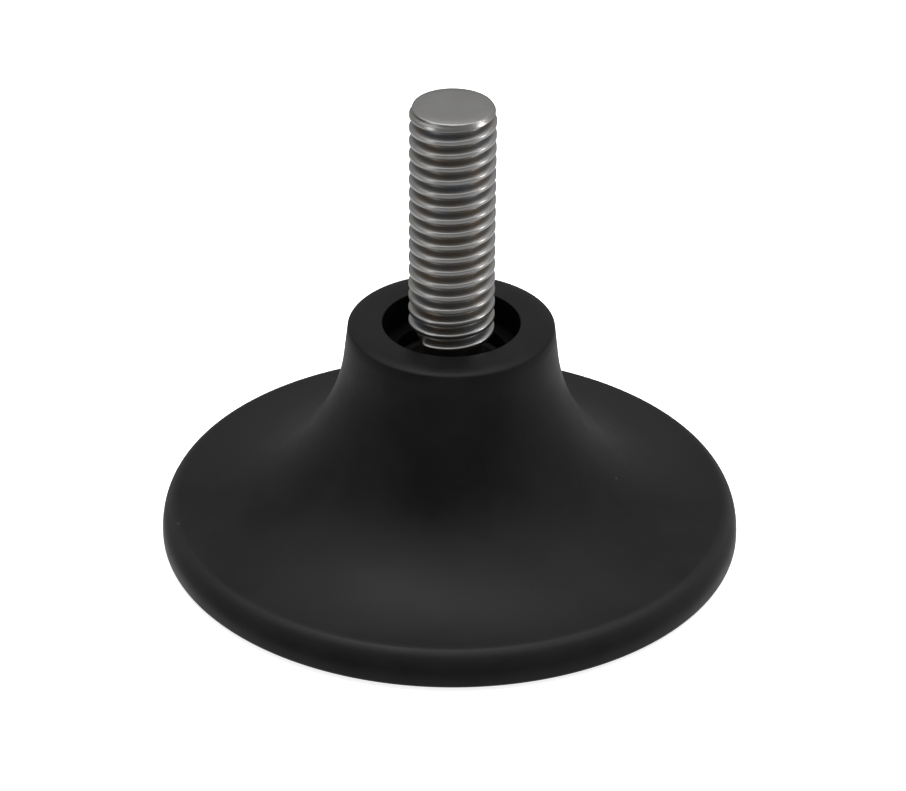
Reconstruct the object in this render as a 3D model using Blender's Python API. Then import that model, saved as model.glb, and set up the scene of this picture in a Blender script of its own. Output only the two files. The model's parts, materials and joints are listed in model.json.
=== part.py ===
"""Swivel levelling foot for furniture: a flared moulded base whose collar holds a ball joint and a stud.

Frame: metres, +Z up along the stud, origin at the centre of the underside, on the floor.
Every round piece is turned about Z, so its profile is a list of (radius, height) points.
"""

import math

import bmesh
import bpy
from mathutils import Vector

MM = 0.001

# Driving dimensions, in millimetres.
BASE_RADIUS = 32.5
COLLAR_TOP = 27.2
COLLAR_RADIUS = 11.5
COLLAR_EDGE = (1.8, 0.6)
COLLAR_DRAFT_DEG = 6.5
FLARE_START = 23.0
RIM_SHOULDER_Z = 4.85
RIM_ROUND = 2.7
RIM_BOTTOM = 0.5
RIM_BOTTOM_ROUND = 0.7
FLARE_END_SLOPE_DEG = 12.0
FLARE_TOP_PULL = 9.0
FLARE_END_PULL = 12.0
WALL = 2.4
BOSS_RUN_IN = 0.6
BOSS_RISE = 0.9
WELL_RADIUS = 7.65
WELL_DEPTH = 3.6
LIP_HOLE_RADIUS = 6.2
LIP_THICKNESS = 1.4

BALL_Z = 16.0
BALL_RADIUS = 6.0
BALL_TOP_CUT = 4.6
BALL_BOTTOM_CUT = 4.4

STUD_TOP = 53.9
MAJOR_RADIUS = 4.76
PITCH = 25.4 / 16
THREAD_DEPTH = 0.6134 * PITCH
THREAD_BOTTOM = 25.6
END_FLAT_RADIUS = 3.75
END_FALL = 0.3
THREAD_START = 0.35
THREAD_FADE = 0.45
RUN_OUT_SLOPE = 1.2
NECK_RADIUS = 3.5
JOURNAL_RADIUS = 2.5
STUD_TIP = 10.0
TIP_CHAMFER = 0.4
NECK_CHAMFER = 0.2
GROOVE_RADIUS = 1.9
GROOVE_Z = (10.7, 11.45)

CLEARANCE = 0.3
RUNNING_CLEARANCE = 0.15
BORE_RADIUS = 8.3
BOSS_RADIUS = 11.2
BOSS_BOTTOM = 1.0
LIP_CHAMFER = 0.4
RIB_COUNT = 8
RIB_THICKNESS = 1.8
RIB_ROOT = 1.2

SEAT_RADIUS = BALL_RADIUS + RUNNING_CLEARANCE
LINER_OUTER = BORE_RADIUS - RUNNING_CLEARANCE
LINER_TOP = COLLAR_TOP - WELL_DEPTH - LIP_THICKNESS - CLEARANCE
LINER_BOTTOM = 14.3
LINER_MOUTH = 4.95
LINER_MOUTH_LIP = 0.5
THRUST_BOTTOM = 11.0
THRUST_INNER = 5.0
PLUG_TOP = THRUST_BOTTOM - CLEARANCE
PLUG_BOTTOM = 1.6
PLUG_CHAMFER = 0.6
PLUG_RECESS_RADIUS = 5.2
PLUG_RECESS_FLOOR = 9.2
PLUG_RECESS_TAPER = 0.8
PLUG_SLOT_LENGTH = 13.0
PLUG_SLOT_WIDTH = 2.4
PLUG_SLOT_DEPTH = 2.2

CLIP_OUTER = 3.5
CLIP_BORE_PLAY = 0.1
CLIP_PLAY = 0.06
CLIP_GAP_DEG = 50.0
CLIP_STEPS = 20

PAD_THICKNESS = 2.4
PAD_OUTER = 28.2
PAD_INNER = 12.2
PAD_GROOVES = (16.4, 22.4)
PAD_GROOVE_WIDTH = 1.4
PAD_GROOVE_DEPTH = 0.7
PAD_CHAMFER = 0.4

BASE_SEGMENTS = 48
FLARE_STEPS = 13
BEARING_SEGMENTS = 32
STUD_SEGMENTS = 24


# ---------------------------------------------------------------- helpers

def clear_scene():
    for item in list(bpy.data.objects):
        bpy.data.objects.remove(item, do_unlink=True)


def material(name, colour, roughness, metallic=0.0):
    mat = bpy.data.materials.new(name)
    mat.use_nodes = True
    shader = mat.node_tree.nodes["Principled BSDF"]
    shader.inputs["Base Color"].default_value = (*colour, 1.0)
    shader.inputs["Roughness"].default_value = roughness
    shader.inputs["Metallic"].default_value = metallic
    return mat


def arc(centre, radius, start_deg, end_deg, steps):
    """Points of an arc in the (radius, height) plane, both ends included."""
    points = []
    for i in range(steps + 1):
        angle = math.radians(start_deg + (end_deg - start_deg) * i / steps)
        points.append((centre[0] + radius * math.cos(angle), centre[1] + radius * math.sin(angle)))
    return points


def bezier(p0, p1, p2, p3, steps):
    points = []
    for i in range(steps + 1):
        t = i / steps
        a, b, c, d = (1 - t) ** 3, 3 * t * (1 - t) ** 2, 3 * t * t * (1 - t), t ** 3
        points.append(tuple(a * p0[k] + b * p1[k] + c * p2[k] + d * p3[k] for k in (0, 1)))
    return points


def ring(radius, z, segments):
    step = 2 * math.pi / segments
    return [Vector((radius * math.cos(i * step), radius * math.sin(i * step), z)) for i in range(segments)]


def finish_object(name, bm, mat, sharp_deg=35.0, origin_z=0.0):
    """Write a bmesh given in millimetres to an object whose origin is on Z at origin_z."""
    bmesh.ops.remove_doubles(bm, verts=bm.verts, dist=1e-5)
    bmesh.ops.dissolve_degenerate(bm, edges=bm.edges, dist=1e-5)
    bmesh.ops.recalc_face_normals(bm, faces=bm.faces)
    bmesh.ops.translate(bm, verts=bm.verts, vec=(0, 0, -origin_z))
    bmesh.ops.scale(bm, verts=bm.verts, vec=(MM, MM, MM))
    mesh = bpy.data.meshes.new(name)
    bm.to_mesh(mesh)
    bm.free()
    mesh.shade_smooth()
    mesh.set_sharp_from_angle(angle=math.radians(sharp_deg))
    item = bpy.data.objects.new(name, mesh)
    item.location.z = origin_z * MM
    if mat:
        item.data.materials.append(mat)
    bpy.context.scene.collection.objects.link(item)
    return item


def bridge_rings(bm, rings, closed):
    """Join rings of points of equal length with quads; closed joins the last ring to the first."""
    rows = [[bm.verts.new(point) for point in points] for points in rings]
    count = len(rows[0])
    pairs = list(zip(rows, rows[1:]))
    if closed:
        pairs.append((rows[-1], rows[0]))
    for low, high in pairs:
        for i in range(count):
            j = (i + 1) % count
            bm.faces.new((low[i], low[j], high[j], high[i]))
    return rows


def turned_ring(name, profile, segments, mat, origin_z=0.0):
    """A ring turned about Z from a closed profile that stays clear of the axis."""
    bm = bmesh.new()
    bridge_rings(bm, [ring(radius, z, segments) for radius, z in profile], closed=True)
    return finish_object(name, bm, mat, origin_z=origin_z)


def capped_stack(bm, rings):
    """Join rings and close both ends with flat caps."""
    rows = bridge_rings(bm, rings, closed=False)
    bm.faces.new(rows[0])
    bm.faces.new(rows[-1])


def cut(item, cutter, operation):
    """Apply a Boolean with a guide body that is not itself a piece."""
    cutter.hide_render = True
    cutter.display_type = "WIRE"
    modifier = item.modifiers.new(operation.lower(), "BOOLEAN")
    modifier.operation = operation
    modifier.solver = "EXACT"
    modifier.object = cutter


# ---------------------------------------------------------------- base

def draft_radius(z):
    return COLLAR_RADIUS + (COLLAR_TOP - COLLAR_EDGE[1] - z) * math.tan(math.radians(COLLAR_DRAFT_DEG))


def collar_edge(steps):
    """Softly rolled edge from the collar's face to its drafted side: a quarter ellipse, wider than deep."""
    across, down = COLLAR_EDGE
    points = []
    for i in range(steps + 1):
        angle = math.radians(90 + (COLLAR_DRAFT_DEG - 90) * i / steps)
        inwards, downwards = across * (1 - math.cos(angle)), down * (1 - math.sin(angle))
        points.append((COLLAR_RADIUS - inwards, COLLAR_TOP - downwards))
    return points


def flare_curve(steps):
    """Outer flare from the drafted collar down to the shoulder of the rim."""
    draft = math.radians(COLLAR_DRAFT_DEG)
    slope = math.radians(FLARE_END_SLOPE_DEG)
    start = (draft_radius(FLARE_START), FLARE_START)
    shoulder = (BASE_RADIUS - RIM_ROUND * (1 - math.sin(slope)), RIM_SHOULDER_Z)
    leave = (start[0] + FLARE_TOP_PULL * math.sin(draft), start[1] - FLARE_TOP_PULL * math.cos(draft))
    arrive = (shoulder[0] - FLARE_END_PULL * math.cos(slope), shoulder[1] + FLARE_END_PULL * math.sin(slope))
    return bezier(start, leave, arrive, shoulder, steps)


def rim_curve():
    """Rounded shoulder, upright rim and rounded lower edge, from the flare down to the rim's underside."""
    slope = FLARE_END_SLOPE_DEG
    centre_z = RIM_SHOULDER_Z - RIM_ROUND * math.cos(math.radians(slope))
    shoulder = arc((BASE_RADIUS - RIM_ROUND, centre_z), RIM_ROUND, 90 - slope, 0, 5)
    low_centre = (BASE_RADIUS - RIM_BOTTOM_ROUND, RIM_BOTTOM + RIM_BOTTOM_ROUND)
    return shoulder[1:] + arc(low_centre, RIM_BOTTOM_ROUND, 0, -90, 3)


def inner_flare(steps):
    """The flare offset inwards by the wall, kept between the boss and the pad recess."""
    outer = flare_curve(4 * steps)
    ceiling = PAD_THICKNESS + CLEARANCE
    points = []
    for (r0, z0), (r1, z1) in zip(outer, outer[1:]):
        length = math.hypot(r1 - r0, z1 - z0)
        radius = (r0 + r1) / 2 + (z1 - z0) / length * WALL
        height = (z0 + z1) / 2 - (r1 - r0) / length * WALL
        if radius > BOSS_RADIUS + BOSS_RUN_IN and height > ceiling + CLEARANCE:
            points.append((radius, height))
    return points[::-4]


def base_profile():
    """Closed profile of the base, from the well's edge round the outside and back up the bore."""
    floor = COLLAR_TOP - WELL_DEPTH
    lip_bottom = floor - LIP_THICKNESS
    ceiling = PAD_THICKNESS + CLEARANCE
    lip_inner = PAD_OUTER + CLEARANCE
    profile = [(WELL_RADIUS, COLLAR_TOP)]
    profile += collar_edge(5)
    profile += flare_curve(FLARE_STEPS)
    profile += rim_curve()
    profile += [(lip_inner, RIM_BOTTOM), (lip_inner, ceiling)]
    profile += inner_flare(8)
    top = profile[-1][1]
    profile += [(BOSS_RADIUS, top + BOSS_RISE), (BOSS_RADIUS, BOSS_BOTTOM), (BORE_RADIUS, BOSS_BOTTOM)]
    profile += [(BORE_RADIUS, lip_bottom), (LIP_HOLE_RADIUS, lip_bottom)]
    profile += [(LIP_HOLE_RADIUS, floor - LIP_CHAMFER), (LIP_HOLE_RADIUS + LIP_CHAMFER, floor)]
    profile.append((WELL_RADIUS, floor))
    return profile


def rib_guide():
    """Eight upright webs that tie the boss to the flare; their tops end inside the flare's wall."""
    bm = bmesh.new()
    bottom = PAD_THICKNESS + CLEARANCE
    inner, outer = BOSS_RADIUS - RIB_ROOT, PAD_OUTER - RIB_ROOT
    middle = [(r - 0.5 * WALL, z - 0.5 * WALL) for r, z in flare_curve(FLARE_STEPS)]
    top = [(r, z) for r, z in middle if BOSS_RADIUS + RIB_ROOT < r < outer]
    outline = [(inner, bottom), (outer, bottom)] + top[::-1] + [(inner, top[0][1])]
    for i in range(RIB_COUNT):
        angle = 2 * math.pi * (i + 0.5) / RIB_COUNT
        out = Vector((math.cos(angle), math.sin(angle), 0))
        side = Vector((-math.sin(angle), math.cos(angle), 0)) * RIB_THICKNESS / 2
        faces = []
        for sign in (-1, 1):
            faces.append([bm.verts.new(out * r + side * sign + Vector((0, 0, z))) for r, z in outline])
        for j in range(len(outline)):
            k = (j + 1) % len(outline)
            bm.faces.new((faces[0][j], faces[0][k], faces[1][k], faces[1][j]))
        bm.faces.new(faces[0][::-1])
        bm.faces.new(faces[1])
    return finish_object("rib_guide", bm, None)


def make_base_shell(mat):
    shell = turned_ring("base_shell", base_profile(), BASE_SEGMENTS, mat)
    cut(shell, rib_guide(), "UNION")
    return shell


# ---------------------------------------------------------------- socket

def seat_arc(start_radius, end_radius, sign, steps):
    """Spherical seat about the ball's centre between two radii, above (+1) or below (-1) its middle."""
    start = math.degrees(math.acos(start_radius / SEAT_RADIUS)) * sign
    end = math.degrees(math.acos(end_radius / SEAT_RADIUS)) * sign
    return arc((0, BALL_Z), SEAT_RADIUS, start, end, steps)


def make_socket_liner(mat):
    """Upper bearing cup: closes over the ball above its middle and opens upwards round the neck."""
    profile = [(LINER_OUTER, LINER_BOTTOM), (LINER_OUTER, LINER_TOP)]
    profile.append((LINER_MOUTH + LINER_MOUTH_LIP, LINER_TOP))
    profile += seat_arc(LINER_MOUTH, SEAT_RADIUS, 1, 6)
    profile.append((SEAT_RADIUS, LINER_BOTTOM))
    return turned_ring("socket_liner", profile, BEARING_SEGMENTS, mat, BALL_Z)


def make_thrust_cup(mat):
    """Lower bearing cup: carries the ball's load into the plug."""
    top = LINER_BOTTOM - CLEARANCE
    rim_radius = math.sqrt(SEAT_RADIUS ** 2 - (BALL_Z - top) ** 2)
    profile = [(THRUST_INNER, THRUST_BOTTOM), (BORE_RADIUS - CLEARANCE, THRUST_BOTTOM)]
    profile += [(BORE_RADIUS - CLEARANCE, top)]
    profile += seat_arc(rim_radius, THRUST_INNER, -1, 4)
    return turned_ring("thrust_cup", profile, BEARING_SEGMENTS, mat)


def make_socket_plug(mat):
    """Plug that closes the bore from below, with room above for the stud's tip and a slot to turn it."""
    outer = BORE_RADIUS - CLEARANCE
    profile = [(outer - PLUG_CHAMFER, PLUG_BOTTOM), (outer, PLUG_BOTTOM + PLUG_CHAMFER), (outer, PLUG_TOP)]
    profile += [(PLUG_RECESS_RADIUS, PLUG_TOP), (PLUG_RECESS_RADIUS - PLUG_RECESS_TAPER, PLUG_RECESS_FLOOR)]
    bm = bmesh.new()
    capped_stack(bm, [ring(radius, z, BEARING_SEGMENTS) for radius, z in profile])
    plug = finish_object("socket_plug", bm, mat)
    slot = bmesh.new()
    bmesh.ops.create_cube(slot, size=1.0)
    bmesh.ops.scale(slot, verts=slot.verts, vec=(PLUG_SLOT_LENGTH, PLUG_SLOT_WIDTH, 2 * PLUG_SLOT_DEPTH))
    bmesh.ops.translate(slot, verts=slot.verts, vec=(0, 0, PLUG_BOTTOM))
    cut(plug, finish_object("slot_guide", slot, None), "DIFFERENCE")
    return plug


def make_swivel_ball(mat):
    """Ball with flats above and below and a bore that the stud's journal runs in."""
    top = math.degrees(math.asin(BALL_TOP_CUT / BALL_RADIUS))
    bottom = math.degrees(math.asin(BALL_BOTTOM_CUT / BALL_RADIUS))
    bore = JOURNAL_RADIUS + RUNNING_CLEARANCE
    profile = arc((0, BALL_Z), BALL_RADIUS, -bottom, top, 12)
    profile += [(bore, BALL_Z + BALL_TOP_CUT), (bore, BALL_Z - BALL_BOTTOM_CUT)]
    return turned_ring("swivel_ball", profile, BEARING_SEGMENTS, mat, BALL_Z)


# ---------------------------------------------------------------- stud

# One pitch of a 60 degree thread: (part of the pitch, part of the depth) at each corner of root and crest.
THREAD_FORM = ((0.0, 0.0), (0.25, 0.0), (0.5625, 1.0), (0.6875, 1.0))


def thread_point(height, angle):
    """Point of the thread at a corner's height and depth; it fades in at the end and runs out on the neck."""
    z, share = height
    z = min(max(z, THREAD_BOTTOM), STUD_TOP - END_FALL)
    fade = min(max((STUD_TOP - z - THREAD_START) / THREAD_FADE, 0.0), 1.0)
    thread = MAJOR_RADIUS - THREAD_DEPTH * fade * (1 - share)
    run_out = NECK_RADIUS + RUN_OUT_SLOPE * (z - THREAD_BOTTOM)
    radius = min(thread, run_out)
    return Vector((radius * math.cos(angle), radius * math.sin(angle), z))


def thread_surface(bm):
    """Right-hand helix of quads; points held at the two flat ends fall together and are shared."""
    turns = int((STUD_TOP - THREAD_BOTTOM) / PITCH) + 3
    rows = [(turn + part, share) for turn in range(-2, turns) for part, share in THREAD_FORM]
    shared = {}

    def vertex(row, column):
        row, column = row + len(THREAD_FORM) * (column // STUD_SEGMENTS), column % STUD_SEGMENTS
        part, share = rows[row]
        z = THREAD_BOTTOM + (part + column / STUD_SEGMENTS) * PITCH
        point = thread_point((z, share), 2 * math.pi * column / STUD_SEGMENTS)
        key = tuple(round(value, 5) for value in point)
        if key not in shared:
            shared[key] = bm.verts.new(point)
        return shared[key]

    for row in range(len(rows) - len(THREAD_FORM) - 1):
        for column in range(STUD_SEGMENTS):
            corners = [vertex(row, column), vertex(row, column + 1)]
            corners += [vertex(row + 1, column + 1), vertex(row + 1, column)]
            corners = list(dict.fromkeys(corners))
            if len(corners) > 2:
                bm.faces.new(corners)
    bottom = [vertex(0, column) for column in range(STUD_SEGMENTS)]
    top = [vertex(len(rows) - len(THREAD_FORM) - 1, column) for column in range(STUD_SEGMENTS)]
    return bottom, top


def end_curve(steps):
    """Worn upper end of the stud: it falls away from the flat to the full radius along part of an ellipse."""
    points = []
    for i in range(1, steps + 1):
        angle = 0.5 * math.pi * i / steps
        radius = END_FLAT_RADIUS + (MAJOR_RADIUS - END_FLAT_RADIUS) * math.cos(angle)
        points.append((radius, STUD_TOP - END_FALL * (1 - math.sin(angle))))
    return points


def make_threaded_stud(mat):
    """Stud: tip, clip groove, journal, shoulder and neck below, then the right-hand thread."""
    shoulder = BALL_Z + BALL_TOP_CUT + RUNNING_CLEARANCE
    low, high = GROOVE_Z
    profile = [(JOURNAL_RADIUS - TIP_CHAMFER, STUD_TIP), (JOURNAL_RADIUS, STUD_TIP + TIP_CHAMFER)]
    profile.append((JOURNAL_RADIUS, low))
    profile += [(GROOVE_RADIUS, low), (GROOVE_RADIUS, high), (JOURNAL_RADIUS, high)]
    profile += [(JOURNAL_RADIUS, shoulder), (NECK_RADIUS - NECK_CHAMFER, shoulder)]
    profile.append((NECK_RADIUS, shoulder + NECK_CHAMFER))
    bm = bmesh.new()
    bottom, top = thread_surface(bm)
    shaft = bridge_rings(bm, [ring(radius, z, STUD_SEGMENTS) for radius, z in profile], closed=False)
    end = bridge_rings(bm, [ring(radius, z, STUD_SEGMENTS) for radius, z in end_curve(3)], closed=False)
    bm.faces.new(shaft[0])
    bm.faces.new(end[-1])
    for low_ring, high_ring in ((shaft[-1], bottom), (top, end[0])):
        for i in range(STUD_SEGMENTS):
            j = (i + 1) % STUD_SEGMENTS
            bm.faces.new((low_ring[i], low_ring[j], high_ring[j], high_ring[i]))
    return finish_object("threaded_stud", bm, mat, sharp_deg=25.0, origin_z=BALL_Z)


def make_retaining_clip(mat):
    """Open ring in the stud's groove that holds the ball on its journal."""
    low, high = GROOVE_Z[0] + CLIP_PLAY, GROOVE_Z[1] - CLIP_PLAY
    inner = GROOVE_RADIUS + CLIP_BORE_PLAY
    corners = ((inner, low), (CLIP_OUTER, low), (CLIP_OUTER, high), (inner, high))
    bm = bmesh.new()
    sections = []
    for i in range(CLIP_STEPS + 1):
        angle = math.radians(0.5 * CLIP_GAP_DEG + (360 - CLIP_GAP_DEG) * i / CLIP_STEPS)
        sections.append([Vector((r * math.cos(angle), r * math.sin(angle), z)) for r, z in corners])
    capped_stack(bm, sections)
    return finish_object("retaining_clip", bm, mat, origin_z=BALL_Z)


# ---------------------------------------------------------------- pad

def make_foot_pad(mat):
    """Rubber ring in the underside, standing proud of the rim, with round grooves in its sole."""
    profile = [(PAD_INNER, PAD_THICKNESS), (PAD_INNER, 0)]
    for groove in PAD_GROOVES:
        left, right = groove, groove + PAD_GROOVE_WIDTH
        profile += [(left, 0), (left, PAD_GROOVE_DEPTH), (right, PAD_GROOVE_DEPTH), (right, 0)]
    profile += [(PAD_OUTER - PAD_CHAMFER, 0), (PAD_OUTER, PAD_CHAMFER), (PAD_OUTER, PAD_THICKNESS)]
    return turned_ring("foot_pad", profile, BASE_SEGMENTS, mat)


def main():
    clear_scene()
    plastic = material("black_moulded_plastic", (0.012, 0.012, 0.013), 0.48)
    acetal = material("dark_acetal", (0.02, 0.02, 0.022), 0.35)
    rubber = material("grey_black_rubber", (0.03, 0.03, 0.03), 0.8)
    zinc = material("zinc_plated_steel", (0.42, 0.41, 0.39), 0.34, 1.0)
    steel = material("bright_steel", (0.5, 0.5, 0.5), 0.25, 1.0)
    make_base_shell(plastic)
    make_socket_liner(acetal)
    make_thrust_cup(steel)
    make_socket_plug(plastic)
    make_swivel_ball(steel)
    make_threaded_stud(zinc)
    make_retaining_clip(steel)
    make_foot_pad(rubber)


main()
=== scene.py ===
"""Looks of the swivel levelling foot.

Fine turned meshes, a rolled thread and procedural materials stand in for the frame's coarser solids.
"""

import math

import bmesh
import bpy
from mathutils import Matrix, Vector
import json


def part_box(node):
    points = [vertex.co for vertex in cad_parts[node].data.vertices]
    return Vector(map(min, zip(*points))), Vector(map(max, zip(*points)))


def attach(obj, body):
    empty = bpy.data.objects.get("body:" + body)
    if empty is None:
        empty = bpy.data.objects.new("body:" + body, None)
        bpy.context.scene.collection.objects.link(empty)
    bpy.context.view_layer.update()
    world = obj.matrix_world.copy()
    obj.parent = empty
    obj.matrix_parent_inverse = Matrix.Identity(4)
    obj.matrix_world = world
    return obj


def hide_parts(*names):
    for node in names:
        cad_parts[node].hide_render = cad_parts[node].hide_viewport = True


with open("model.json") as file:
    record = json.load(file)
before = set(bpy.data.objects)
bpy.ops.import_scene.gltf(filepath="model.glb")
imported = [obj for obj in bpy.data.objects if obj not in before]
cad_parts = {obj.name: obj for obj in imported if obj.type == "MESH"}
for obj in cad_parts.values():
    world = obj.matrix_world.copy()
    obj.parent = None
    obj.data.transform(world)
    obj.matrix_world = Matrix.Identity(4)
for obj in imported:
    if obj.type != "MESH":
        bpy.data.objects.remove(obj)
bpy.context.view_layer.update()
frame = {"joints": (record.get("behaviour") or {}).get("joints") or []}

MM = 0.001

# Sizes read from the frame, in millimetres.
BASE_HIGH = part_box("base_shell")[1] / MM
PAD_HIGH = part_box("foot_pad")[1] / MM
STUD_LOW, STUD_HIGH = (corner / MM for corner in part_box("threaded_stud"))
LINER_LOW, LINER_HIGH = (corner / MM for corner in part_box("socket_liner"))
THRUST_LOW, THRUST_HIGH = (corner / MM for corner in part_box("thrust_cup"))
PLUG_LOW, PLUG_HIGH = (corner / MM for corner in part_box("socket_plug"))
BALL_LOW, BALL_HIGH = (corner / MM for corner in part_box("swivel_ball"))
CLIP_LOW, CLIP_HIGH = (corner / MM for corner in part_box("retaining_clip"))
BALL_Z = next(j for j in frame["joints"] if j["name"] == "tilt")["pos_m"][2] / MM

BASE_RADIUS = BASE_HIGH.x
COLLAR_TOP = BASE_HIGH.z
RIM_BOTTOM = 0.4
STUD_TOP = STUD_HIGH.z
STUD_TIP = STUD_LOW.z
PAD_OUTER = PAD_HIGH.x
PAD_THICKNESS = PAD_HIGH.z

# Sizes that the frame's boxes don't give, in millimetres and degrees.
COLLAR_RADIUS = 11.5
COLLAR_EDGE = (1.8, 0.6)
COLLAR_DRAFT = math.radians(6.5)
FLARE_START = 23.0
FLARE_TOP_PULL = 9.0
FLARE_END_PULL = 12.0
FLARE_END_SLOPE = math.radians(8.0)
RIM_SHOULDER_Z = 4.55
RIM_ROUND = (1.7, 3.2)
RIM_BOTTOM_ROUND = 0.5
# Insets from the base's edge of the painted highlight on the rim's shoulder.
SHOULDER_HIGHLIGHT_INSETS = (1.9, 0.9, 0.1)
WALL = 2.4
WELL_RADIUS = 7.65
WELL_DEPTH = 3.6
WELL_EDGE = 0.12
LIP_HOLE_RADIUS = 6.2
LIP_THICKNESS = 1.4
BORE_RADIUS = 8.3
BOSS_RADIUS = 11.2
BOSS_BOTTOM = 1.0
CLEARANCE = 0.3
RIB_COUNT = 8
RIB_THICKNESS = 1.8
PAD_INNER = 12.2
PAD_GROOVES = (16.4, 22.4)
PAD_GROOVE_WIDTH = 1.4
PAD_GROOVE_DEPTH = 0.7
LINER_MOUTH = 4.95
THRUST_INNER = 5.0
PLUG_RECESS = 5.2
PLUG_RECESS_FLOOR = 9.2
PLUG_HUB = 0.02
PLUG_SLOT_WIDTH = 2.4
PLUG_SLOT_HEIGHT = 4.4

MAJOR_RADIUS = 4.76
PITCH = 25.4 / 16
THREAD_DEPTH = 0.6134 * PITCH
THREAD_BOTTOM = 25.6
RUN_OUT_SLOPE = 2.2
NECK_RADIUS = 3.5
JOURNAL_RADIUS = 2.5
GROOVE_RADIUS = 1.9
GROOVE_Z = (10.7, 11.45)
CLIP_OUTER = 3.5
CLIP_GAP_DEG = 50
CLIP_STEPS = 72
BALL_RADIUS = BALL_HIGH.x
SEAT_GAP = 0.15
CREST_BLEND = (0.45, 0.85)

FINE = 192
MEDIUM = 96
CUT_SHARP_DEG = 32.0


# ---------------------------------------------------------------- camera, floor and light

CAMERA_DISTANCE = 0.480
CAMERA_ELEVATION = math.radians(30.75)
CAMERA_LENS = 171.0
CAMERA_TARGET = Vector((0.00025, 0.0, 0.0177))
CAMERA_ROLL = math.radians(0.5)
LIGHT_CENTRE = Vector((0, 0, 0.02))
DOME_FRONT = 0.13
DOME_SIDES = 0.235
DOME_TOP = 0.58
DOME_FLOOR_FRONT = 0.30
DOME_FLOOR_BACK = 0.62
DOME_SIDE_LEAN = 0.15
DOME_WIDENING = 0.33
DOME_BACK_RISE = 0.13
DOME_TOP_EDGE = (0.74, 0.96)
BACKDROP = 1.0
FLOOR_GAP = 0.00002


def make_camera():
    data = bpy.data.cameras.new("camera")
    data.lens = CAMERA_LENS
    data.sensor_width = 36.0
    data.clip_start = 0.01
    item = bpy.data.objects.new("camera", data)
    bpy.context.scene.collection.objects.link(item)
    back = Vector((0, -math.cos(CAMERA_ELEVATION), math.sin(CAMERA_ELEVATION)))
    place = Matrix.Translation(CAMERA_TARGET + back * CAMERA_DISTANCE)
    aim = (-back).to_track_quat("-Z", "Y").to_matrix().to_4x4()
    item.matrix_world = place @ aim @ Matrix.Rotation(CAMERA_ROLL, 4, "Z")
    bpy.context.scene.camera = item


def softbox(name, azimuth, elevation, distance, size, brightness, sheen=True):
    """A soft panel facing the part: azimuth 0 is behind it, 90 to its right, and brightness 1 looks white."""
    data = bpy.data.lights.new(name, "AREA")
    data.shape = "RECTANGLE"
    data.size, data.size_y = size
    data.energy = 4 * size[0] * size[1] * brightness
    item = bpy.data.objects.new(name, data)
    turn, lift = math.radians(azimuth), math.radians(elevation)
    out = Vector((math.sin(turn) * math.cos(lift), math.cos(turn) * math.cos(lift), math.sin(lift)))
    item.location = LIGHT_CENTRE + out * distance
    item.rotation_mode = "QUATERNION"
    item.rotation_quaternion = (-out).to_track_quat("-Z", "Y")
    item.visible_glossy = sheen
    item.visible_camera = False
    bpy.context.scene.collection.objects.link(item)
    return item


def glint(name, azimuth, elevation, size, brightness, receiver):
    """A narrow panel that lights only one piece, the receiver."""
    group = bpy.data.collections.new(name)
    group.objects.link(receiver)
    panel = softbox(name, azimuth, elevation, 0.6, size, brightness)
    panel.light_linking.receiver_collection = group


def make_dome():
    """A pale dome, brightest overhead and dim in front of the part and right behind it, above a pale table.

    The camera itself sees a plain bright backdrop in its place.
    """
    world = bpy.data.worlds.new("studio")
    bpy.context.scene.world = world
    world.use_nodes = True
    nodes, links = world.node_tree.nodes, world.node_tree.links
    parts = nodes.new("ShaderNodeSeparateXYZ")
    links.new(nodes.new("ShaderNodeTexCoord").outputs["Generated"], parts.inputs["Vector"])

    def math_node(operation, first, second):
        node = nodes.new("ShaderNodeMath")
        node.operation = operation
        for socket, value in zip(node.inputs, (first, second)):
            if isinstance(value, (int, float)):
                socket.default_value = value
            else:
                links.new(value, socket)
        return node.outputs["Value"]

    def ramp(value, low, high):
        result = span(nodes, links, value, low, high, 0.0, 1.0)
        result.node.interpolation_type = "SMOOTHSTEP"
        return result

    sideways = math_node("ABSOLUTE", parts.outputs["X"], 0.0)
    aside = math_node("MAXIMUM", ramp(sideways, 0.15, 0.45), ramp(parts.outputs["Z"], 0.0, 0.3))
    beside = math_node("MULTIPLY", aside, ramp(parts.outputs["Y"], -0.85, -0.05))
    lean = math_node("ADD", math_node("MULTIPLY", parts.outputs["X"], DOME_SIDE_LEAN), 1.0)
    sides = math_node("MULTIPLY", lean, DOME_SIDES)
    sides_share = math_node("MULTIPLY", beside, math_node("SUBTRACT", sides, DOME_FRONT))
    low = math_node("ADD", sides_share, DOME_FRONT)
    wide = math_node("MULTIPLY", math_node("MULTIPLY", sideways, sideways), DOME_WIDENING)
    back = math_node("MULTIPLY", math_node("MAXIMUM", parts.outputs["Y"], 0.0), DOME_BACK_RISE)
    height = math_node("ADD", parts.outputs["Z"], math_node("ADD", wide, back))
    rise = ramp(height, *DOME_TOP_EDGE)
    lift = math_node("MULTIPLY", rise, math_node("SUBTRACT", DOME_TOP, low))
    upper = math_node("ADD", low, lift)
    table = span(nodes, links, parts.outputs["Y"], -0.85, 0.85, DOME_FLOOR_FRONT, DOME_FLOOR_BACK)
    share = ramp(parts.outputs["Z"], -0.38, -0.52)
    studio = math_node("ADD", upper, math_node("MULTIPLY", share, math_node("SUBTRACT", table, upper)))
    seen = nodes.new("ShaderNodeLightPath").outputs["Is Camera Ray"]
    backdrop = math_node("MULTIPLY", seen, math_node("SUBTRACT", BACKDROP, studio))
    background = nodes["Background"]
    background.inputs["Color"].default_value = (1.0, 1.0, 1.0, 1.0)
    links.new(math_node("ADD", studio, backdrop), background.inputs["Strength"])


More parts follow.
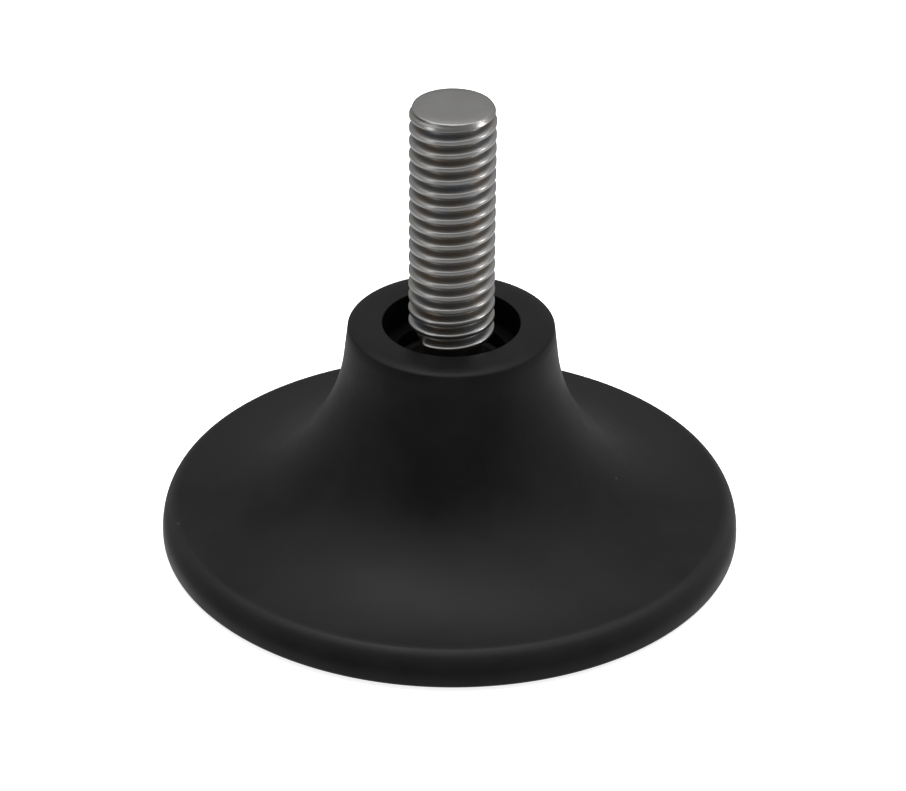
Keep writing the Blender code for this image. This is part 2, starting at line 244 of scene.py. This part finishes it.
def make_studio():
    make_dome()
    softbox("overhead", -35, 80, 0.75, (0.5, 0.35), 0.42)
    softbox("fill", 20, 78, 1.00, (1.2, 1.2), 2.6, sheen=False)
    bpy.ops.mesh.primitive_plane_add(size=6.0)
    floor = bpy.context.object
    floor.name = "floor"
    floor.location.z = -FLOOR_GAP
    mat, shader, _, _ = new_material("pale_floor", (0.9, 0.9, 0.9), 0.8)
    shader.inputs["Emission Color"].default_value = (1.0, 1.0, 1.0, 1.0)
    shader.inputs["Emission Strength"].default_value = 0.85
    floor.data.materials.append(mat)
    floor.visible_glossy = False
    bpy.context.scene.view_settings.view_transform = "Standard"


# ---------------------------------------------------------------- materials

def new_material(name, colour, roughness, metallic=0.0):
    mat = bpy.data.materials.new(name)
    mat.use_nodes = True
    nodes, links = mat.node_tree.nodes, mat.node_tree.links
    shader = nodes["Principled BSDF"]
    shader.inputs["Base Color"].default_value = (*colour, 1.0)
    shader.inputs["Roughness"].default_value = roughness
    shader.inputs["Metallic"].default_value = metallic
    return mat, shader, nodes, links


def object_coordinates(nodes):
    return nodes.new("ShaderNodeTexCoord").outputs["Object"]


def noise(nodes, links, where, scale, detail=3.0, roughness=0.6):
    node = nodes.new("ShaderNodeTexNoise")
    node.inputs["Scale"].default_value = scale
    node.inputs["Detail"].default_value = detail
    node.inputs["Roughness"].default_value = roughness
    links.new(where, node.inputs["Vector"])
    return node.outputs["Fac"]


def span(nodes, links, value, low, high, out_low, out_high):
    """Map a value from low..high to out_low..out_high, held at both ends."""
    node = nodes.new("ShaderNodeMapRange")
    node.inputs["From Min"].default_value = low
    node.inputs["From Max"].default_value = high
    node.inputs["To Min"].default_value = out_low
    node.inputs["To Max"].default_value = out_high
    links.new(value, node.inputs["Value"])
    return node.outputs["Result"]


def blend_colour(nodes, links, share, first, second):
    """Mix two colours, each a tuple or an output of another node."""
    node = nodes.new("ShaderNodeMix")
    node.data_type = "RGBA"
    links.new(share, node.inputs["Factor"])
    for socket, colour in (("A", first), ("B", second)):
        target = [s for s in node.inputs if s.name == socket and s.type == "RGBA"][0]
        if isinstance(colour, tuple):
            target.default_value = (*colour, 1.0)
        else:
            links.new(colour, target)
    return [s for s in node.outputs if s.type == "RGBA"][0]


def bump(nodes, links, shader, height, strength, distance, below=None):
    node = nodes.new("ShaderNodeBump")
    node.inputs["Strength"].default_value = strength
    node.inputs["Distance"].default_value = distance
    links.new(height, node.inputs["Height"])
    if below:
        links.new(below, node.inputs["Normal"])
    links.new(node.outputs["Normal"], shader.inputs["Normal"])
    return node.outputs["Normal"]


# Lighter colour for the rim's shoulder: a painted highlight.
SHOULDER_HIGHLIGHT_COLOUR = (0.013, 0.013, 0.013)
DUST_COLOUR = (0.07, 0.07, 0.066)


def shoulder_highlight_mask(nodes, links, where):
    """Share of the painted highlight along the rim's shoulder, from 0 to 1."""
    flat = nodes.new("ShaderNodeVectorMath")
    flat.operation = "MULTIPLY"
    flat.inputs[1].default_value = (1.0, 1.0, 0.0)
    links.new(where, flat.inputs[0])
    radius = nodes.new("ShaderNodeVectorMath")
    radius.operation = "LENGTH"
    links.new(flat.outputs["Vector"], radius.inputs[0])
    low, peak, high = (BASE_RADIUS - inset for inset in SHOULDER_HIGHLIGHT_INSETS)
    rising = span(nodes, links, radius.outputs["Value"], low * MM, peak * MM, 0.0, 1.0)
    falling = span(nodes, links, radius.outputs["Value"], peak * MM, high * MM, 1.0, 0.0)
    share = nodes.new("ShaderNodeMath")
    share.operation = "MULTIPLY"
    links.new(rising, share.inputs[0])
    links.new(falling, share.inputs[1])
    return share.outputs["Value"]


def moulded_black(name, colour, roughness, specks=False, grain=0.00003, painted_shoulder_highlight=False, gloss=0.45):
    """Black moulded plastic: fine spark-eroded grain, cloudy sheen and a few pale specks of dust."""
    mat, shader, nodes, links = new_material(name, colour, roughness)
    shader.inputs["Specular IOR Level"].default_value = gloss
    where = object_coordinates(nodes)
    cloud = noise(nodes, links, where, 160.0)
    fine = noise(nodes, links, where, 2600.0, detail=2.0)
    lighter = tuple(1.9 * c for c in colour)
    body = blend_colour(nodes, links, span(nodes, links, cloud, 0.35, 0.68, 0.0, 1.0), colour, lighter)
    # Painted highlight: a lighter ring along the rim's shoulder.
    if painted_shoulder_highlight:
        body = blend_colour(nodes, links, shoulder_highlight_mask(nodes, links, where), body, SHOULDER_HIGHLIGHT_COLOUR)
    if specks:
        cells = nodes.new("ShaderNodeTexVoronoi")
        cells.inputs["Scale"].default_value = 210.0
        links.new(where, cells.inputs["Vector"])
        spot = span(nodes, links, cells.outputs["Distance"], 0.025, 0.05, 1.0, 0.0)
        rare = nodes.new("ShaderNodeSeparateColor")
        links.new(cells.outputs["Color"], rare.inputs["Color"])
        chosen = span(nodes, links, rare.outputs["Red"], 0.45, 0.5, 0.0, 0.5)
        both = nodes.new("ShaderNodeMath")
        both.operation = "MULTIPLY"
        links.new(spot, both.inputs[0])
        links.new(chosen, both.inputs[1])
        body = blend_colour(nodes, links, both.outputs["Value"], body, DUST_COLOUR)
    links.new(body, shader.inputs["Base Color"])
    satin = span(nodes, links, cloud, 0.3, 0.7, roughness - 0.05, roughness + 0.07)
    links.new(satin, shader.inputs["Roughness"])
    bump(nodes, links, shader, fine, 0.35, grain)
    return mat


def zinc_plated():
    """Rolled thread with satin plating: bright crests and end, roots darker with a brownish tint and painted
    shade, fine marks.
    """
    mat, shader, nodes, links = new_material("zinc_plated_steel", (0.55, 0.54, 0.52), 0.3, 1.0)
    where = object_coordinates(nodes)
    parts = nodes.new("ShaderNodeSeparateXYZ")
    links.new(where, parts.inputs["Vector"])
    flat = nodes.new("ShaderNodeCombineXYZ")
    links.new(parts.outputs["X"], flat.inputs["X"])
    links.new(parts.outputs["Y"], flat.inputs["Y"])
    radius = nodes.new("ShaderNodeVectorMath")
    radius.operation = "LENGTH"
    links.new(flat.outputs["Vector"], radius.inputs[0])
    root = (MAJOR_RADIUS - THREAD_DEPTH) * MM
    dull, crest_full = (root + share * THREAD_DEPTH * MM for share in CREST_BLEND)
    crest = span(nodes, links, radius.outputs["Value"], dull, crest_full, 0.0, 1.0)
    end = span(nodes, links, parts.outputs["Z"], (STUD_TOP - 0.35) * MM, (STUD_TOP - 0.2) * MM, 0.0, 1.0)
    crest_or_end = nodes.new("ShaderNodeMath")
    crest_or_end.operation = "MAXIMUM"
    links.new(crest, crest_or_end.inputs[0])
    links.new(end, crest_or_end.inputs[1])
    # Root colour: a brownish tint plus painted shade, darker than the crests.
    stain = noise(nodes, links, where, 420.0, detail=4.0)
    tint = blend_colour(nodes, links, span(nodes, links, stain, 0.4, 0.62, 0.0, 1.0),
                        (0.42, 0.37, 0.32), (0.39, 0.40, 0.42))
    bright = blend_colour(nodes, links, span(nodes, links, stain, 0.35, 0.7, 0.0, 1.0),
                          (0.74, 0.73, 0.71), (0.80, 0.80, 0.79))
    links.new(blend_colour(nodes, links, crest_or_end.outputs["Value"], tint, bright), shader.inputs["Base Color"])
    satin = span(nodes, links, crest_or_end.outputs["Value"], 0.0, 1.0, 0.46, 0.3)
    links.new(satin, shader.inputs["Roughness"])
    stretch = nodes.new("ShaderNodeMapping")
    stretch.inputs["Scale"].default_value = (1.0, 1.0, 9.0)
    links.new(where, stretch.inputs["Vector"])
    marks = noise(nodes, links, stretch.outputs["Vector"], 900.0, detail=3.0)
    bump(nodes, links, shader, marks, 0.25, 0.00002)
    return mat


def turned_steel(name, colour, roughness):
    """Turned bearing steel: fine rings left by the tool and a little grease staining."""
    mat, shader, nodes, links = new_material(name, colour, roughness, 1.0)
    where = object_coordinates(nodes)
    stain = noise(nodes, links, where, 300.0)
    dark = tuple(0.6 * c for c in colour)
    links.new(blend_colour(nodes, links, span(nodes, links, stain, 0.35, 0.6, 0.0, 1.0), dark, colour),
              shader.inputs["Base Color"])
    satin = span(nodes, links, stain, 0.3, 0.7, roughness - 0.06, roughness + 0.1)
    links.new(satin, shader.inputs["Roughness"])
    stretch = nodes.new("ShaderNodeMapping")
    stretch.inputs["Scale"].default_value = (1.0, 1.0, 25.0)
    links.new(where, stretch.inputs["Vector"])
    bump(nodes, links, shader, noise(nodes, links, stretch.outputs["Vector"], 500.0), 0.2, 0.00001)
    return mat


def pad_rubber():
    """Dark rubber with a pebbled skin and dusty high spots."""
    mat, shader, nodes, links = new_material("pad_rubber", (0.03, 0.03, 0.03), 0.8)
    where = object_coordinates(nodes)
    cloud = noise(nodes, links, where, 120.0)
    links.new(blend_colour(nodes, links, span(nodes, links, cloud, 0.4, 0.75, 0.0, 1.0),
                           (0.024, 0.024, 0.024), (0.06, 0.058, 0.055)), shader.inputs["Base Color"])
    links.new(span(nodes, links, cloud, 0.3, 0.7, 0.7, 0.88), shader.inputs["Roughness"])
    pebbles = nodes.new("ShaderNodeTexVoronoi")
    pebbles.inputs["Scale"].default_value = 1800.0
    links.new(where, pebbles.inputs["Vector"])
    bump(nodes, links, shader, pebbles.outputs["Distance"], 0.5, 0.00006)
    return mat


# ---------------------------------------------------------------- mesh helpers

def arc(centre, radius, start_deg, end_deg, steps):
    points = []
    for i in range(steps + 1):
        angle = math.radians(start_deg + (end_deg - start_deg) * i / steps)
        points.append((centre[0] + radius * math.cos(angle), centre[1] + radius * math.sin(angle)))
    return points


def bezier(p0, p1, p2, p3, steps):
    points = []
    for i in range(steps + 1):
        t = i / steps
        weights = ((1 - t) ** 3, 3 * t * (1 - t) ** 2, 3 * t * t * (1 - t), t ** 3)
        points.append(tuple(sum(w * p[k] for w, p in zip(weights, (p0, p1, p2, p3))) for k in (0, 1)))
    return points


def rounded(outline, radius, steps=4):
    """A closed outline with each corner rounded by up to a radius."""
    points = []
    count = len(outline)
    for i, corner in enumerate(outline):
        before, after = Vector(outline[i - 1]), Vector(outline[(i + 1) % count])
        corner = Vector(corner)
        left, right = before - corner, after - corner
        reach = min(radius, 0.45 * left.length, 0.45 * right.length)
        if left.angle(right) > math.radians(160):
            points.append(tuple(corner))
            continue
        start, end = corner + left.normalized() * reach, corner + right.normalized() * reach
        for k in range(steps + 1):
            t = k / steps
            point = start * (1 - t) ** 2 + corner * 2 * t * (1 - t) + end * t * t
            points.append(tuple(point))
    return points


def ring(radius, z, segments):
    step = 2 * math.pi / segments
    return [Vector((radius * math.cos(i * step), radius * math.sin(i * step), z)) for i in range(segments)]


def to_object(name, bm, mat, sharp_deg=40.0):
    bmesh.ops.remove_doubles(bm, verts=bm.verts, dist=1e-5)
    bmesh.ops.recalc_face_normals(bm, faces=bm.faces)
    bmesh.ops.scale(bm, verts=bm.verts, vec=(MM, MM, MM))
    mesh = bpy.data.meshes.new(name)
    bm.to_mesh(mesh)
    bm.free()
    mesh.shade_smooth()
    mesh.set_sharp_from_angle(angle=math.radians(sharp_deg))
    item = bpy.data.objects.new(name, mesh)
    if mat:
        item.data.materials.append(mat)
    bpy.context.scene.collection.objects.link(item)
    return item


def bridge(bm, rows, closed):
    count = len(rows[0])
    pairs = list(zip(rows, rows[1:]))
    if closed:
        pairs.append((rows[-1], rows[0]))
    for low, high in pairs:
        for i in range(count):
            j = (i + 1) % count
            bm.faces.new((low[i], low[j], high[j], high[i]))


def turned(name, profile, mat, segments=FINE, sharp_deg=40.0):
    """A ring turned about Z from a closed profile of (radius, height) points."""
    bm = bmesh.new()
    rows = [[bm.verts.new(p) for p in ring(r, z, segments)] for r, z in profile]
    bridge(bm, rows, closed=True)
    return to_object(name, bm, mat, sharp_deg)


def place(item, body, node, slot):
    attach(item, body)
    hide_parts(node)
    return item


def apply_boolean(item, cutter, operation):
    modifier = item.modifiers.new("cut", "BOOLEAN")
    modifier.operation = operation
    modifier.solver = "EXACT"
    modifier.object = cutter
    bpy.context.view_layer.update()
    evaluated = item.evaluated_get(bpy.context.evaluated_depsgraph_get())
    mesh = bpy.data.meshes.new_from_object(evaluated)
    item.modifiers.clear()
    old = item.data
    item.data = mesh
    bpy.data.meshes.remove(old)
    bpy.data.objects.remove(cutter)
    item.data.shade_smooth()
    item.data.set_sharp_from_angle(angle=math.radians(CUT_SHARP_DEG))


# ---------------------------------------------------------------- base

def draft_radius(z):
    return COLLAR_RADIUS + (COLLAR_TOP - COLLAR_EDGE[1] - z) * math.tan(COLLAR_DRAFT)


def collar_edge(steps):
    """Softly rolled edge from the collar's face to its drafted side: a quarter ellipse, wider than deep."""
    across, down = COLLAR_EDGE
    points = []
    for i in range(steps + 1):
        angle = 0.5 * math.pi + (COLLAR_DRAFT - 0.5 * math.pi) * i / steps
        inwards, downwards = across * (1 - math.cos(angle)), down * (1 - math.sin(angle))
        points.append((COLLAR_RADIUS - inwards, COLLAR_TOP - downwards))
    return points


def rim_curve(steps):
    """The rim's rounded face: an upright ellipse that starts at the flare's slope and ends upright."""
    across, down = RIM_ROUND
    first = math.atan2(down, across * math.tan(FLARE_END_SLOPE))
    centre_z = RIM_SHOULDER_Z - down * math.sin(first)
    angles = [first * (1 - i / steps) for i in range(steps + 1)]
    return [(BASE_RADIUS - across * (1 - math.cos(a)), centre_z + down * math.sin(a)) for a in angles]


def flare_curve(steps):
    start = (draft_radius(FLARE_START), FLARE_START)
    shoulder = rim_curve(1)[0]
    leave = (start[0] + FLARE_TOP_PULL * math.sin(COLLAR_DRAFT),
             start[1] - FLARE_TOP_PULL * math.cos(COLLAR_DRAFT))
    arrive = (shoulder[0] - FLARE_END_PULL * math.cos(FLARE_END_SLOPE),
              shoulder[1] + FLARE_END_PULL * math.sin(FLARE_END_SLOPE))
    return bezier(start, leave, arrive, shoulder, steps)


def inner_flare():
    outer = flare_curve(48)
    ceiling = PAD_THICKNESS + CLEARANCE
    points = []
    for (r0, z0), (r1, z1) in zip(outer, outer[1:]):
        length = math.hypot(r1 - r0, z1 - z0)
        radius = (r0 + r1) / 2 + (z1 - z0) / length * WALL
        height = (z0 + z1) / 2 - (r1 - r0) / length * WALL
        if radius > BOSS_RADIUS + 0.6 and height > ceiling + 0.3:
            points.append((radius, height))
    return points[::-1]


def base_profile():
    floor = COLLAR_TOP - WELL_DEPTH
    lip_bottom = floor - LIP_THICKNESS
    ceiling = PAD_THICKNESS + CLEARANCE
    lip_inner = PAD_OUTER + CLEARANCE
    profile = arc((WELL_RADIUS + WELL_EDGE, COLLAR_TOP - WELL_EDGE), WELL_EDGE, 180, 90, 4)
    profile += collar_edge(16)
    profile += [(draft_radius(z), z) for z in (25.5, 24.3)]
    profile += flare_curve(56)
    profile += rim_curve(20)[1:]
    bottom_round = (BASE_RADIUS - RIM_BOTTOM_ROUND, RIM_BOTTOM + RIM_BOTTOM_ROUND)
    profile += arc(bottom_round, RIM_BOTTOM_ROUND, 0, -90, 8)
    profile += [(lip_inner + 0.3, RIM_BOTTOM), (lip_inner, RIM_BOTTOM + 0.3), (lip_inner, ceiling - 0.2)]
    profile += [(lip_inner - 0.2, ceiling)]
    profile += inner_flare()
    top = profile[-1][1]
    profile += [(BOSS_RADIUS + 0.2, top + 0.7), (BOSS_RADIUS, top + 0.3)]
    profile += [(BOSS_RADIUS, BOSS_BOTTOM + 0.3), (BOSS_RADIUS - 0.3, BOSS_BOTTOM)]
    profile += [(BORE_RADIUS + 0.4, BOSS_BOTTOM), (BORE_RADIUS, BOSS_BOTTOM + 0.4)]
    profile += [(BORE_RADIUS, lip_bottom), (LIP_HOLE_RADIUS, lip_bottom)]
    profile += arc((LIP_HOLE_RADIUS + 0.1, floor - 0.1), 0.1, 180, 90, 3)
    profile += arc((WELL_RADIUS - 0.1, floor + 0.1), 0.1, -90, 0, 3)
    return profile


def rib_guide():
    bm = bmesh.new()
    bottom = PAD_THICKNESS + CLEARANCE
    inner = BOSS_RADIUS - 1.2
    under = [(r, z) for r, z in flare_curve(24) if BOSS_RADIUS + 2.4 < r < PAD_OUTER - 0.6]
    top = [(r - 0.5 * WALL, z - 0.5 * WALL) for r, z in under]
    outline = [(inner, bottom), (PAD_OUTER - 1.0, bottom)] + top[::-1] + [(inner, top[0][1])]
    for i in range(RIB_COUNT):
        angle = 2 * math.pi * (i + 0.5) / RIB_COUNT
        out = Vector((math.cos(angle), math.sin(angle), 0))
        side = Vector((-math.sin(angle), math.cos(angle), 0)) * RIB_THICKNESS / 2
        faces = []
        for sign in (-1, 1):
            faces.append([bm.verts.new(out * r + side * sign + Vector((0, 0, z))) for r, z in outline])
        for j in range(len(outline)):
            k = (j + 1) % len(outline)
            bm.faces.new((faces[0][j], faces[0][k], faces[1][k], faces[1][j]))
        bm.faces.new(faces[0][::-1])
        bm.faces.new(faces[1])
    return to_object("rib_guide", bm, None)


def make_base():
    plastic = moulded_black("moulded_plastic", (0.0026, 0.0026, 0.0027), 0.35, specks=True, painted_shoulder_highlight=True)
    base = turned("moulded_base", base_profile(), plastic, sharp_deg=CUT_SHARP_DEG)
    apply_boolean(base, rib_guide(), "UNION")
    # Painted shade: the faces inside the well get a darker, less glossy plastic.
    base.data.materials.append(moulded_black("well_painted_shade_plastic", (0.0015, 0.0015, 0.0015), 0.55, gloss=0.12))
    for face in base.data.polygons:
        inside = math.hypot(face.center.x, face.center.y) < (WELL_RADIUS + 0.05) * MM
        if inside and face.center.z < (COLLAR_TOP - 0.8) * MM:
            face.material_index = 1
    return place(base, "base", "base_shell", "moulded_plastic")


# ---------------------------------------------------------------- socket

def seat_arc(start_radius, end_radius, sign, steps):
    seat = BALL_RADIUS + SEAT_GAP
    start = math.degrees(math.acos(min(1.0, start_radius / seat))) * sign
    end = math.degrees(math.acos(min(1.0, end_radius / seat))) * sign
    return arc((0, BALL_Z), seat, start, end, steps)


def make_socket():
    seat = BALL_RADIUS + SEAT_GAP
    acetal = moulded_black("liner_acetal", (0.006, 0.006, 0.0065), 0.4, grain=0.00001, gloss=0.25)
    outer, low, high = LINER_HIGH.x, LINER_LOW.z, LINER_HIGH.z
    profile = [(outer - 0.3, low), (outer, low + 0.3), (outer, high - 0.4), (outer - 0.4, high)]
    profile += [(LINER_MOUTH + 0.6, high), (LINER_MOUTH + 0.45, high - 0.15)]
    profile += seat_arc(LINER_MOUTH, seat, 1, 20)
    profile += [(seat, low + 0.2), (seat + 0.2, low)]
    place(turned("bearing_liner", profile, acetal), "bearing", "socket_liner", "liner_acetal")

    steel = turned_steel("bearing_steel", (0.5, 0.5, 0.49), 0.28)
    outer, low, high = THRUST_HIGH.x, THRUST_LOW.z, THRUST_HIGH.z
    rim = math.sqrt(seat ** 2 - (BALL_Z - high) ** 2)
    profile = [(THRUST_INNER + 0.2, low), (outer - 0.3, low), (outer, low + 0.3)]
    profile += [(outer, high - 0.3), (outer - 0.3, high)]
    profile += seat_arc(rim, THRUST_INNER, -1, 14)
    profile.append((THRUST_INNER, low + 0.2))
    place(turned("thrust_seat", profile, steel), "base", "thrust_cup", "bearing_steel")

    top_cut, bottom_cut = BALL_HIGH.z - BALL_Z, BALL_Z - BALL_LOW.z
    top = math.degrees(math.asin(top_cut / BALL_RADIUS))
    bottom = math.degrees(math.asin(bottom_cut / BALL_RADIUS))
    bore = JOURNAL_RADIUS + SEAT_GAP
    profile = arc((0, BALL_Z), BALL_RADIUS, -bottom, top, 36)
    profile += [(bore + 0.25, BALL_HIGH.z), (bore, BALL_HIGH.z - 0.25)]
    profile += [(bore, BALL_LOW.z + 0.25), (bore + 0.25, BALL_LOW.z)]
    place(turned("turned_ball", profile, steel), "ball", "swivel_ball", "bearing_steel")


def make_plug():
    plastic = moulded_black("plug_plastic", (0.014, 0.014, 0.015), 0.42)
    outer, low, high = PLUG_HIGH.x, PLUG_LOW.z, PLUG_HIGH.z
    profile = [(PLUG_HUB, low), (outer - 0.6, low), (outer - 0.15, low + 0.25), (outer, low + 0.7)]
    profile += [(outer, high - 0.4), (outer - 0.4, high)]
    profile += [(PLUG_RECESS + 0.2, high), (PLUG_RECESS, high - 0.2)]
    profile += [(PLUG_RECESS - 0.7, PLUG_RECESS_FLOOR + 0.15), (PLUG_RECESS - 0.9, PLUG_RECESS_FLOOR)]
    profile.append((PLUG_HUB, PLUG_RECESS_FLOOR))
    bm = bmesh.new()
    rows = [[bm.verts.new(p) for p in ring(r, z, MEDIUM)] for r, z in profile]
    bridge(bm, rows, closed=False)
    bm.faces.new(rows[0])
    bm.faces.new(rows[-1])
    plug = to_object("slotted_plug", bm, plastic)
    slot = bmesh.new()
    bmesh.ops.create_cube(slot, size=1.0)
    bmesh.ops.scale(slot, verts=slot.verts, vec=(2 * outer - 3.0, PLUG_SLOT_WIDTH, PLUG_SLOT_HEIGHT))
    bmesh.ops.bevel(slot, geom=[e for e in slot.edges], offset=0.25, segments=3, affect="EDGES")
    bmesh.ops.translate(slot, verts=slot.verts, vec=(0, 0, low))
    apply_boolean(plug, to_object("slot_guide", slot, None), "DIFFERENCE")
    place(plug, "base", "socket_plug", "plug_plastic")


def make_clip():
    """Open snap ring with softened edges."""
    low, high = CLIP_LOW.z, CLIP_HIGH.z
    inner = GROOVE_RADIUS + 0.1
    section = rounded([(inner, low), (CLIP_OUTER, low), (CLIP_OUTER, high), (inner, high)], 0.12, 3)
    bm = bmesh.new()
    rows = []
    for i in range(CLIP_STEPS + 1):
        angle = math.radians(CLIP_GAP_DEG / 2 + (360 - CLIP_GAP_DEG) * i / CLIP_STEPS)
        rows.append([bm.verts.new((r * math.cos(angle), r * math.sin(angle), z)) for r, z in section])
    bridge(bm, rows, closed=False)
    bm.faces.new(rows[0])
    bm.faces.new(rows[-1])
    clip = to_object("snap_ring", bm, turned_steel("clip_steel", (0.2, 0.2, 0.21), 0.36))
    place(clip, "stud", "retaining_clip", "clip_steel")


# ---------------------------------------------------------------- stud

THREAD_COLUMNS = 112
THREAD_ROWS = 22
CREST_PHASE = 0.655
CREST_HALF = 0.12
ROOT_HALF = 0.07
END_FLAT_RADIUS = 3.0
END_DOME = (4.42, 0.15)
END_CHAMFER = 0.7
THREAD_FADE = 0.35
RIDGE_END = -0.42
RIDGE_FADE = 0.07


def smooth(t):
    t = min(max(t, 0.0), 1.0)
    return t * t * (3 - 2 * t)


def ridge_share(phase):
    """Height of the rolled ridge over one pitch, 0 at the root and 1 at the crest, with rounded corners."""
    away = abs((phase - CREST_PHASE + 0.5) % 1.0 - 0.5)
    t = 1 - (away - CREST_HALF) / (0.5 - ROOT_HALF - CREST_HALF)
    t = min(max(t, 0.0), 1.0)
    return 0.35 * t + 0.65 * smooth(t)


def end_radius(z):
    """Widest radius at a height: the stud's end is a slight dome, then a steep chamfer to the full radius."""
    edge, fall = END_DOME
    below = STUD_TOP - z
    if below < fall:
        return END_FLAT_RADIUS + (edge - END_FLAT_RADIUS) * math.sqrt(max(0.0, below) / fall)
    return min(MAJOR_RADIUS + 0.3, edge + (MAJOR_RADIUS - edge) * (below - fall) / (END_CHAMFER - fall))


def soft_minimum(first, second, sharpness=14.0):
    low, high = min(first, second), max(first, second)
    return low - math.log(1 + math.exp(sharpness * (low - high))) / sharpness


def thread_point(turn, phase, column):
    angle = 2 * math.pi * column / THREAD_COLUMNS
    travel = turn + column / THREAD_COLUMNS
    z = THREAD_BOTTOM + (travel + phase) * PITCH
    z = min(max(z, THREAD_BOTTOM), STUD_TOP - END_DOME[1])
    fade_in = smooth((STUD_TOP - z - END_DOME[1]) / THREAD_FADE)
    fade_out = smooth((travel - RIDGE_END) / RIDGE_FADE)
    share = 1 - (1 - ridge_share(phase) * fade_out) * fade_in
    radius = min(MAJOR_RADIUS - THREAD_DEPTH * (1 - share), NECK_RADIUS + RUN_OUT_SLOPE * (z - THREAD_BOTTOM))
    radius = soft_minimum(radius, end_radius(z))
    return Vector((radius * math.cos(angle), radius * math.sin(angle), z))


def thread_surface(bm):
    turns = int((STUD_TOP - THREAD_BOTTOM) / PITCH) + 3
    rows = [(turn, part / THREAD_ROWS) for turn in range(-2, turns) for part in range(THREAD_ROWS)]
    shared = {}

    def vertex(row, column):
        row, column = row + THREAD_ROWS * (column // THREAD_COLUMNS), column % THREAD_COLUMNS
        point = thread_point(*rows[row], column)
        key = tuple(round(value, 5) for value in point)
        if key not in shared:
            shared[key] = bm.verts.new(point)
        return shared[key]

    last = len(rows) - THREAD_ROWS - 1
    for row in range(last):
        for column in range(THREAD_COLUMNS):
            corners = [vertex(row, column), vertex(row, column + 1)]
            corners += [vertex(row + 1, column + 1), vertex(row + 1, column)]
            corners = list(dict.fromkeys(corners))
            if len(corners) > 2:
                bm.faces.new(corners)
    bottom = [vertex(0, column) for column in range(THREAD_COLUMNS)]
    top = [vertex(last, column) for column in range(THREAD_COLUMNS)]
    return bottom, top


def end_curve(steps):
    """Points of the domed end from its edge up to the flat."""
    heights = [STUD_TOP - END_DOME[1] * (1 - i / steps) ** 2 for i in range(1, steps + 1)]
    return [(end_radius(z), z) for z in heights]


def make_stud():
    shoulder = BALL_HIGH.z + SEAT_GAP
    low, high = GROOVE_Z
    profile = [(0.02, STUD_TIP), (JOURNAL_RADIUS - 0.45, STUD_TIP), (JOURNAL_RADIUS - 0.1, STUD_TIP + 0.15)]
    profile += [(JOURNAL_RADIUS, STUD_TIP + 0.45), (JOURNAL_RADIUS, low - 0.05), (JOURNAL_RADIUS - 0.05, low)]
    profile += [(GROOVE_RADIUS, low), (GROOVE_RADIUS, high), (JOURNAL_RADIUS - 0.05, high)]
    profile += [(JOURNAL_RADIUS, high + 0.05), (JOURNAL_RADIUS, shoulder), (NECK_RADIUS - 0.25, shoulder)]
    profile += [(NECK_RADIUS - 0.07, shoulder + 0.07), (NECK_RADIUS, shoulder + 0.25), (NECK_RADIUS, 23.0)]
    bm = bmesh.new()
    bottom, top = thread_surface(bm)
    rows = [[bm.verts.new(p) for p in ring(r, z, THREAD_COLUMNS)] for r, z in profile]
    bridge(bm, rows + [bottom], closed=False)
    bm.faces.new(rows[0])
    end = [[bm.verts.new(p) for p in ring(r, z, THREAD_COLUMNS)] for r, z in end_curve(8)]
    end.append([bm.verts.new(p) for p in ring(1.5, STUD_TOP, THREAD_COLUMNS)])
    bridge(bm, [top] + end, closed=False)
    bm.faces.new(end[-1])
    stud = to_object("zinc_stud", bm, zinc_plated(), sharp_deg=50.0)
    glint("right_glint", 101, 5, (0.15, 0.5), 2.6, stud)
    glint("left_glint", -121, 5, (0.18, 0.5), 0.8, stud)
    place(stud, "stud", "threaded_stud", "zinc_plated_steel")


# ---------------------------------------------------------------- pad

def make_pad():
    """Rubber ring with softened edges and round grooves in its sole."""
    outline = [(PAD_INNER, PAD_THICKNESS), (PAD_INNER, 0.0)]
    for groove in PAD_GROOVES:
        left, right = groove, groove + PAD_GROOVE_WIDTH
        outline += [(left, 0.0), (left + 0.15, PAD_GROOVE_DEPTH)]
        outline += [(right - 0.15, PAD_GROOVE_DEPTH), (right, 0.0)]
    outline += [(PAD_OUTER, 0.0), (PAD_OUTER, PAD_THICKNESS)]
    pad = turned("rubber_ring", rounded(outline, 0.25), pad_rubber())
    place(pad, "base", "foot_pad", "pad_rubber")


make_camera()
make_studio()
make_base()
make_socket()
make_plug()
make_clip()
make_stud()
make_pad()
